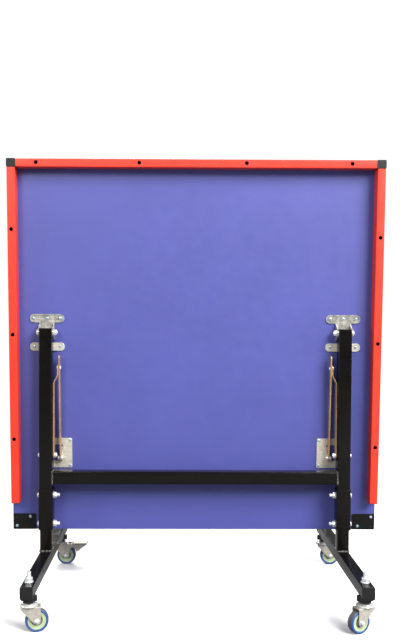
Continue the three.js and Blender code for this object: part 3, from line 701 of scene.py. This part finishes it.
def build_brackets():
    h = POST_W / 2
    for word, s in SIDES:
        # hinge bracket: a rounded T leaf, a dished neck and two ears
        leaf = prism(rrect(POST_X - 47.5, POST_X + 47.5, 25.5, 48.5, 11.3, 10), "XZ", RY1 - 2.8, RY1)
        neck = [(POST_X - 20.8, 10), (POST_X + 20.8, 10)]
        for i in range(7):
            t = i / 6
            neck.append((POST_X + 20.8 + 5 * t * t, 17 + 12 * t))
        for i in range(7):
            t = 1 - i / 6
            neck.append((POST_X - 20.8 - 5 * t * t, 17 + 12 * t))
        ear = [(RY1, 24), (19, 24)]
        for i in range(25):
            a = math.radians(100 + 165.0 * i / 24)
            ear.append((12.5 * math.cos(a), 12.5 * math.sin(a)))
        ear += [(16, -22), (RY1, -24)]
        bm = combine(leaf, [prism(neck, "XZ", RY1 - 2.8, RY1),
                            prism(ear, "YZ", POST_X - h - 3.3, POST_X - h - 0.3),
                            prism(ear, "YZ", POST_X + h + 0.3, POST_X + h + 3.3)], "UNION")
        dish = [lathe([(0, 18), (6.2, 18), (5.0, 21.2), (0, 21.2)], "Y", (POST_X + d, 0, 37), 28) for d in (-35.5, 0, 35.5)]
        dish.append(prism(rrect(POST_X - 43.6, POST_X + 43.6, 29.4, 44.6, 7.4, 10), "XZ", RY1 - 4, RY1 - 1.9))
        bm = combine(bm, dish + [lathe([(0, -30), (5.3, -30), (5.3, 30), (0, 30)], "X", (POST_X, 0, 0), 32)])
        piece(f"hinge_{word}", bm, "tabletop", HINGEZ, [f"hinge_bracket_{word}"], TOP, bevel=0.7, segs=3, flip=s < 0)

        # rest saddle
        hat = [(-47.5, RY1), (-47.5, RY1 - 2.3), (-28, RY1 - 2.3), (-20, 16.3), (20, 16.3), (28, RY1 - 2.3), (47.5, RY1 - 2.3),
               (47.5, RY1), (26.6, RY1), (18.8, 18.6), (-18.8, 18.6), (-26.6, RY1)]
        bm = prism([(a + POST_X, b) for a, b in hat], "XY", -52.3, -29.7)
        bm = combine(bm, [prism(rrect(POST_X - 47.4, POST_X + 47.4, -52.2, -29.8, 9.5, 8), "XZ", 0, 30)], "INTERSECT")
        bm = combine(bm, [lathe([(0, 18), (5.0, 18), (3.4, 21.3), (0, 21.3)], "Y", (POST_X + d, 0, -41), 24) for d in (-35.5, 35.5)])
        piece(f"saddle_{word}", bm, "tabletop", ZINC, [f"rest_saddle_{word}"], TOP, bevel=0.5, flip=s < 0)

        # stay plate: window, bent ear, stud
        ex, bs, by, w1 = POST_X - 37.5, -349.0, 9.0, POST_X - 14.0
        ear = [(RY1 - 1, bs + 21), (18, bs + 19)]
        for i in range(19):
            a = math.radians(95 + 170.0 * i / 18)
            ear.append((by + 8.5 * math.cos(a), bs + 8.5 * math.sin(a)))
        ear += [(18, bs - 9.5), (RY1 - 1, bs - 10.5)]
        plate = prism(rrect(POST_X - 66, POST_X - 7, -379, -296, 3.2), "XZ", RY1 - 2.5, RY1)
        window = prism([(ex - 3.2, bs - 9.8), (w1, bs - 9.8), (w1, bs + 34.5), (ex - 2.6, bs + 34.5), (ex - 1.9, bs + 29), (ex + 3, bs + 28), (ex + 3, bs - 3)],
                       "XZ", 10, 30)
        plate = combine(plate, [window])
        # the bent ear and a raised boss beside it
        plate = combine(plate, [prism(ear, "YZ", ex - 2.5, ex),
                                prism(rrect(ex - 8.5, ex - 1.5, bs - 4, bs + 25, 3.2), "XZ", RY1 - 4.4, RY1 - 1)], "UNION")
        dish = [lathe([(0, 18), (4.6, 18), (3.4, 20.9), (0, 20.9)], "Y", (POST_X + dx, 0, dz), 24)
                for dx, dz in ((-60.5, -373), (-12.5, -373), (-60.5, -302), (-12.5, -302))]
        plate = combine(plate, dish)
        piece(f"stay_base_{word}", plate, "tabletop", ZINC, [f"stay_plate_{word}"], TOP, bevel=0.5, flip=s < 0)
        stud = merge(lathe([(0, 0), (6, 0), (6, 1.2), (4.6, 2.6), (4, 3.0), (4, 11.6), (6.8, 11.6), (6.8, 13), (6.2, 13.2), (5.4, 15.0), (3, 16.4), (0, 16.8)], "X", (ex - 5.5, by, bs), 40))
        piece(f"stay_stud_{word}", stud, "tabletop", BRIGHT, M=TOP, bevel=0.3, flip=s < 0)

    pts = []
    for s in (-1, 1):
        pts += [(s * (POST_X + d), RY1 - 2.2, 37) for d in (-35.5, 0, 35.5)]
        pts += [(s * (POST_X + d), RY1 - 1.6, -41) for d in (-35.5, 35.5)]
        pts += [(s * (POST_X + dx), RY1 - 1.9, dz) for dx, dz in ((-60.5, -373), (-12.5, -373), (-60.5, -302), (-12.5, -302))]
    piece("bracket_screws", screws(pts), "tabletop", SCREW, M=TOP, angle=40)


# ------------------------------------------------------------------ stays
A = (0.0, 384.0)
J = (4.8, 623.0)
B = (9.0 * math.cos(LEAN) + 349.0 * math.sin(LEAN), PIVOT_Z + 9.0 * math.sin(LEAN) - 349.0 * math.cos(LEAN))


def along(p, q):
    """The frame of a link: origin at its first pivot, +Z along it."""
    return Matrix.Translation((0, p[0] * MM, p[1] * MM)) @ Matrix.Rotation(-math.atan2(q[0] - p[0], q[1] - p[1]), 4, "X")


def build_stays():
    low = math.dist(A, J)
    up = math.dist(B, J)
    w = 8.0
    for word, s in SIDES:
        X = lambda v: POST_X - v
        n = 10

        def sweep(c0, c1):
            pts = []
            for i in range(n + 1):
                t = i / n
                e = t * t * (3 - 2 * t)
                pts.append((X(c0 + (c1 - c0) * e), 195 + 27 * t))
            return pts
        prof = [(X(19), -12)] + sweep(19, 30) + [(X(30), low + 12), (X(33), low + 12)] + sweep(22, 33)[::-1] + [(X(22), -12)]
        bm = prism(prof, "XZ", -w, w)
        bm = combine(bm, [prism(rrect(-w + 0.05, w - 0.05, -8.95, low + 8.95, w - 0.3, 10), "YZ", X(60), X(0))], "INTERSECT")
        bm = combine(bm, [lathe([(0, -30), (4.3, -30), (4.3, 30), (0, 30)], "X", (X(20), 0, 0), 28)])
        piece(f"lower_link_{word}", bm, f"stay_lower_{word}", BRASS, [f"stay_lower_link_{word}"], along(A, J), bevel=0.45, flip=s < 0)
        # tail of the middle joint's rivet, on the outer face of the lower link
        bm = lathe([(0, 0.02), (5.2, 0.02), (5.2, 0.9), (4.2, 2.2), (2.4, 2.9), (0, 3.1)], "X", (0, 0, 0), 32)
        piece(f"rivet_tail_{word}", moved(bm, Matrix.Translation((X(30), 0, low))), f"stay_lower_{word}", BRIGHT, M=along(A, J), angle=35, flip=s < 0)

        bm = prism(rrect(-w, w, -9, up + 35, w - 0.15, 10), "YZ", X(37), X(34))
        bm = combine(bm, [lathe([(0, -30), (4.3, -30), (4.3, 30), (0, 30)], "X", (X(36), 0, 0), 28)])
        piece(f"upper_link_{word}", bm, f"stay_upper_{word}", BRASS, [f"stay_upper_link_{word}"], along(B, J), bevel=0.45, flip=s < 0)
        bm = lathe([(0, -3.4), (2.6, -3.1), (4.6, -2.2), (5.5, -0.9), (5.5, -0.02), (0, -0.02)], "X", (X(37), 0, up), 32)
        piece(f"rivet_head_{word}", bm, f"stay_upper_{word}", BRIGHT, M=along(B, J), angle=35, flip=s < 0)


# ------------------------------------------------------------------ frame
def square(cx, w, r, wall, z0, z1, plane="XY", n=6):
    h = w / 2
    return tube(rrect(cx - h, cx + h, -h, h, r, n), rrect(cx - h + wall, cx + h - wall, -h + wall, h - wall, max(0.5, r - wall), n), plane, z0, z1)


def carriage_bolt(name, body, z, inner, outer, r, head, tip, replaces, s, nut=8.0):
    """Domed head outboard, washer, nut and threaded end inboard, on an axis along X."""
    xo, xi = POST_X + outer, POST_X - inner
    parts = [
        lathe([(0, 0), (head + 1.4, 0), (head + 1.4, 1.1), (0, 1.1)], "X", (xo, 0, z), 40),
        lathe([(0, 1.1), (head, 1.1), (head, 1.9), (head * 0.95, 3.0), (head * 0.78, 4.5), (head * 0.48, 5.6), (0, 6.1)], "X", (xo, 0, z), 40),
        lathe([(0, -1.3), (head + 1.6, -1.3), (head + 1.6, 0), (0, 0)], "X", (xi, 0, z), 40),
        hexnut("X", head + 0.4, xi - nut, xi - 1.3, (0, 0, z), 1.0),
        moved(lathe(thread_profile(r, nut - 0.5, nut + tip - 4), "X", (0, 0, 0), 32), Matrix.Translation((xi, 0, z)) @ Matrix.Rotation(math.pi, 4, "Z")),
        lathe([(0, -1), (r, -1), (r, outer + inner + 1), (0, outer + inner + 1)], "X", (xi, 0, z), 24),
    ]
    return piece(name, merge(*parts), body, BRIGHT, replaces, angle=35, flip=s < 0)


def build_frame():
    h = POST_W / 2
    for word, s in SIDES:
        piece(f"leg_{word}", square(POST_X, 35, 3.2, 2, 236, 729, n=7), "frame", BLACK, [f"post_{word}"], bevel=0.4, flip=s < 0)
        cap = merge(prism(rrect(POST_X - h, POST_X + h, -h, h, 3.2), "XY", 729.3, 730.8),
                    prism(rrect(POST_X - h + 2.3, POST_X + h - 2.3, -h + 2.3, h - 2.3, 1.2), "XY", 724, 730))
        piece(f"leg_plug_{word}", cap, "frame", CAPS, [f"post_cap_{word}"], bevel=0.6, segs=3, flip=s < 0)
        piece(f"sleeve_{word}", square(POST_X, 39, 3.8, 1.7, 181, 291, n=7), "frame", BLACK, [f"leg_sleeve_{word}"], bevel=0.45, flip=s < 0)

        b, z1, z0 = 15.5, 121.5, 90.5
        zc = (z0 + z1) / 2
        beam = tube(rrect(POST_X - b, POST_X + b, z0, z1, 3.2), rrect(POST_X - b + 2, POST_X + b - 2, z0 + 2, z1 - 2, 1.2), "XZ", -297, 297)
        piece(f"foot_{word}", beam, "frame", BLACK, [f"foot_beam_{word}"], bevel=0.4, flip=s < 0)
        piece(f"foot_socket_{word}", square(POST_X, 32, 3.0, 2, 121, 234), "frame", BLACK, bevel=0.4, flip=s < 0)
        q = 15.9
        ring = [(POST_X - q, -q, 122), (POST_X + q, -q, 122), (POST_X + q, q, 122), (POST_X - q, q, 122)]
        piece(f"foot_weld_{word}", weld(ring, 2.5), "frame", WELD, angle=60, flip=s < 0)
        # crossbar weld bead on the post's inner face
        q = 17.2
        ring = [(POST_X - h - 0.4, -q, 323.5 - q), (POST_X - h - 0.4, q, 323.5 - q), (POST_X - h - 0.4, q, 323.5 + q), (POST_X - h - 0.4, -q, 323.5 + q)]
        piece(f"crossbar_weld_{word}", weld(ring, 2.6), "frame", WELD, angle=60, flip=s < 0)

        for end, e in (("front", -1), ("rear", 1)):
            y0, y1 = sorted((e * 297.3, e * 300))
            p0, p1 = sorted((e * 283, e * 299))
            cap = merge(prism(rrect(POST_X - b, POST_X + b, z0, z1, 3.4), "XZ", y0, y1),
                        prism(rrect(POST_X - b + 2.3, POST_X + b - 2.3, zc - b + 2.3, zc + b - 2.3, 1.0), "XZ", p0, p1))
            piece(f"foot_plug_{end}_{word}", cap, "frame", CAPS, [f"beam_end_cap_{end}_{word}"], bevel=0.9, segs=3, flip=s < 0)

        ear = h + 3.6
        carriage_bolt(f"fold_bolt_{word}", "frame", 720, ear, ear, 5, 8.2, 6.2, [f"pivot_bolt_{word}"], s)
        carriage_bolt(f"stay_pivot_{word}", "frame", 384, 22.3, h + 0.3, 4, 6.4, 5, [f"stay_bolt_{word}"], s, nut=6.5)
        carriage_bolt(f"sleeve_bolt_a_{word}", "frame", 274, 19.8, 19.8, 5, 8.2, 12.5, [f"sleeve_bolt_upper_{word}"], s)
        carriage_bolt(f"sleeve_bolt_b_{word}", "frame", 195, 19.8, 19.8, 5, 8.2, 12.5, [f"sleeve_bolt_lower_{word}"], s)

    x = POST_X - h - 0.3
    bar = tube(rrect(-17.5, 17.5, 306, 341, 3.2, 7), rrect(-15.5, 15.5, 308, 339, 1.2, 7), "YZ", -x, x)
    piece("crossbar_tube", bar, "frame", BLACK, ["crossbar"], bevel=0.3)


# ------------------------------------------------------------------ casters, drawn about the stem with the trail along +X
def fork_mesh(brake):
    """A pressed U section cut to the cheeks' outline and bored for the stem and the axle."""
    out, inn = 13.3, 11.3
    U = []
    for cx, a0, sgn in ((out - 3.2, 0, 1),):
        for i in range(9):
            a = math.radians(90.0 * i / 8)
            U.append((cx + 3.2 * math.cos(a), 60.8 + 3.2 * math.sin(a)))
    right = [(out, 10)] + U
    left = [(-x, z) for x, z in right[::-1]]
    inner = [(-inn, 10)]
    for i in range(7):
        a = math.radians(180 - 90.0 * i / 6)
        inner.append((-inn + 1.3 + 1.3 * math.cos(a), 60.0 + 1.3 * math.sin(a)))
    inner += [(-x, z) for x, z in inner[::-1]]
    sect = right + left + inner
    body = prism(sect, "YZ", -22, 60)
    P = [(-21, 66), (-21, 59)]
    for i in range(25):
        a = math.radians(205 + 150.0 * i / 24)
        P.append((TRAIL + 9 * math.cos(a), AXLE_Z + 9 * math.sin(a)))
    P += [(30, 48), (38, 54), (39, 60), (37.5, 62.8), (34, 63.4), (32, 64), (32, 66)] if brake else [(28, 52), (28, 66)]
    body = combine(body, [prism(P, "XZ", -20, 20)], "INTERSECT")
    if brake:
        body = combine(body, [prism([(24, 58), (50, 58), (50, 80), (24, 80)], "XZ", -11, 11)])
    body = combine(body, [lathe([(0, 50), (5.4, 50), (5.4, 80), (0, 80)], "Z", (0, 0, 0), 32),
                          lathe([(0, -20), (3.3, -20), (3.3, 20), (0, 20)], "Y", (TRAIL, 0, AXLE_Z), 24)])
    return body


RACE_PROFILE = [(5.6, 63.5), (17.2, 63.5), (18.6, 64.0), (20.6, 64.2), (21.5, 64.9), (21.6, 66.2), (20.9, 67.3), (19.6, 67.5), (19.2, 68.2), (17.6, 69.0),
                (15.6, 69.2), (14.8, 70.2), (12.0, 70.5), (5.6, 70.5)]


def tyre_profile(side):
    return None


def build_wheel(name, body, M, cad):
    w = 9.0
    c = (TRAIL, 0, AXLE_Z)
    # tread band with two shallow grooves
    prof = [(26.6, -7.3), (27.7, -7.1), (28.1, -6.2), (28.2, -4.9), (28.2, -3.2), (27.9, -2.9), (27.9, -2.3), (28.3, -2.0), (28.3, 2.0), (27.9, 2.3), (27.9, 2.9), (28.2, 3.2),
            (28.2, 4.9), (28.05, 6.2), (27.7, 7.1), (26.6, 7.3), (25.5, 5), (25.5, -5)]
    piece(f"{name}_tread", lathe(prof, "Y", c, 96, closed=True), body, TREAD, [cad], M, angle=50)
    for tag, e in (("a", -1), ("b", 1)):
        ring = [(27.9, 7.2), (27.2, 8.4), (25.6, 8.95), (23.6, 8.9), (22.4, 8.3), (22.1, 7.2), (22.1, 5.6), (26.6, 5.6)]
        piece(f"{name}_ring_{tag}", lathe([(r, e * y) for r, y in ring], "Y", c, 96, closed=True), body, RING, M=M, angle=50)
        disc = [(22.4, 6.0), (22.2, 7.7), (21.2, 8.1), (20.0, 7.9), (16.2, 7.1), (14.6, 7.2), (13.6, 6.6), (13.3, 4.6), (13.3, 2.0), (22.4, 2.0)]
        piece(f"{name}_disc_{tag}", lathe([(r, e * y) for r, y in disc], "Y", c, 96, closed=True), body, DISC, M=M, angle=40)
        hub = [(13.6, 3.6), (13.5, 4.8), (10.6, 4.4), (9.4, 5.2), (9.0, 7.0), (8.4, 9.2), (7.9, 10.2), (7.4, 10.6), (3.35, 10.6), (3.35, 2.2), (13.6, 2.2)]
        piece(f"{name}_hub_{tag}", lathe([(r, e * y) for r, y in hub], "Y", c, 64, closed=True), body, HUB, M=M, angle=40)


def build_casters():
    for name, sx, sy, turn, brake in CASTERS:
        F = Matrix.Translation((sx * POST_X * MM, sy * STEM_Y * MM, 0))
        S = F @ Matrix.Rotation(math.radians(turn), 4, "Z")
        caster, wheel = f"caster_{name}", f"wheel_{name}"
        # stem with its flange nut
        stem = merge(lathe([(0, 58.6), (7.5, 58.6), (7.5, 59.6), (6.6, 60.6), (5, 60.6), (5, 92), (0, 92)], "Z", n=32),
                     lathe(thread_profile(5, 88, 147.5), "Z", n=40),
                     lathe([(5, 121.8), (11, 121.8), (11.1, 122.7), (10.5, 123.6), (8.6, 125.4), (5, 125.4)], "Z", n=48, closed=True),
                     hexnut("Z", 9.6, 124.2, 133.5, (0, 0, 0), 1.2, phase=0.4))
        piece(f"stem_{name}", stem, "frame", BRIGHT, [f"caster_stem_{name}"], F, angle=35)

        # star nut: six rounded lobes over a boss
        pts = []
        for i in range(96):
            a = 2 * math.pi * i / 96
            r = 17.3 + 2.6 * math.cos(6 * a) + 0.35 * math.cos(12 * a)
            pts.append((min(r, 19.9) * math.cos(a), min(r, 19.9) * math.sin(a)))
        star = merge(prism(pts, "XY", 75.3, 89.8), lathe([(5.4, 71.3), (11.2, 71.3), (12, 72.1), (12.6, 76.5), (5.4, 76.5)], "Z", n=48, closed=True))
        piece(f"star_{name}", star, f"star_nut_{name}", KNOB, [f"star_nut_{name}"], F, bevel=1.5, segs=4, angle=38)
        piece(f"star_insert_{name}", lathe([(5.3, 70.9), (8.4, 70.9), (8.8, 71.3), (8.8, 72.2), (5.3, 72.2)], "Z", n=40, closed=True), f"star_nut_{name}", BRIGHT, M=F, angle=30)

        piece(f"fork_{name}", fork_mesh(brake), caster, FORKZ, [f"caster_fork_{name}"], S, bevel=0.45, segs=2, angle=34)
        piece(f"race_{name}", lathe(RACE_PROFILE, "Z", n=72, closed=True), caster, RACE, M=S, angle=35)
        c = (TRAIL, 0, AXLE_Z)
        axle = merge(lathe([(0, -17), (3, -17), (3, 17), (0, 17)], "Y", c, 24),
                     lathe([(0, -18.9), (2.4, -18.6), (4.4, -17.5), (5.5, -15.6), (5.7, -14.4), (6.6, -14.2), (6.6, -13.4), (0, -13.4)], "Y", c, 40),
                     lathe([(0, 13.4), (6.4, 13.4), (6.4, 14.2), (0, 14.2)], "Y", c, 40),
                     hexnut("Y", 5.6, 14.2, 17.9, c, 0.7),
                     lathe([(0, 17.5), (2.9, 17.5), (2.9, 18.4), (2.2, 18.9), (0, 18.9)], "Y", c, 24))
        piece(f"axle_{name}", axle, caster, BRIGHT, [f"caster_axle_{name}"], S, angle=35)
        build_wheel(f"wheel_{name}", wheel, S, f"caster_wheel_{name}")

        if brake:
            side = [(34, 55.8), (37, 55.4), (40, 51.4), (42.6, 50.4), (44.6, 46.2), (47, 45.4), (49.2, 41.4), (52, 38.8), (55.4, 43), (58.4, 42.6),
                    (62, 48), (72, 54.5), (80, 60.8), (80, 64), (40, 64.9), (36, 64.2), (33, 63.4), (30.8, 61.5), (30.4, 58.8), (31.4, 56.6)]
            lips = [(40.3, 60.8), (80, 60.8), (82.4, 62.6), (82, 63.2), (79.4, 62.2), (40.3, 62.2)]
            tread = [(40.3, 64.4), (80.6, 64.4), (82.6, 62.6), (83, 63.6), (82.4, 65.6), (81.4, 66.2), (41, 66.2), (40.3, 65.5)]
            bm = merge(prism(side, "XZ", -10.6, -8.4), prism(side, "XZ", 8.4, 10.6), prism(tread, "XZ", -14, 14), prism(lips, "XZ", -14, -10.2), prism(lips, "XZ", 10.2, 14),
                       prism([(40.3, 61.5), (80, 61.5), (80, 65), (40.3, 65)], "XZ", -12.4, -10.4), prism([(40.3, 61.5), (80, 61.5), (80, 65), (40.3, 65)], "XZ", 10.4, 12.4),
                       lathe([(0, -10), (3.3, -10), (3.3, 10), (0, 10)], "Y", (34, 0, 59.5), 28))
            piece("pedal", bm, "brake", FORKZ, ["brake_pedal"], S, bevel=0.4, segs=3, angle=30)
            grips = merge(*[prism(rrect(46 + 6 * k, 49 + 6 * k, -11, 11, 1.4, 5), "XY", 66.0, 67.3) for k in range(6)])
            piece("pedal_grips", grips, "brake", FORKZ, M=S, bevel=0.4, angle=30)
            piece("pedal_pin", lathe([(0, -15.6), (2.6, -15.2), (3.2, -14.4), (3.2, -13.5), (2, -13.5), (2, 13.5), (3.2, 13.5), (3.2, 14.4), (2.6, 15.2), (0, 15.6)], "Y", (34, 0, 59.5), 28),
                  caster, BRIGHT, M=S, angle=35)


build_top()
build_brackets()
build_stays()
build_frame()
build_casters()
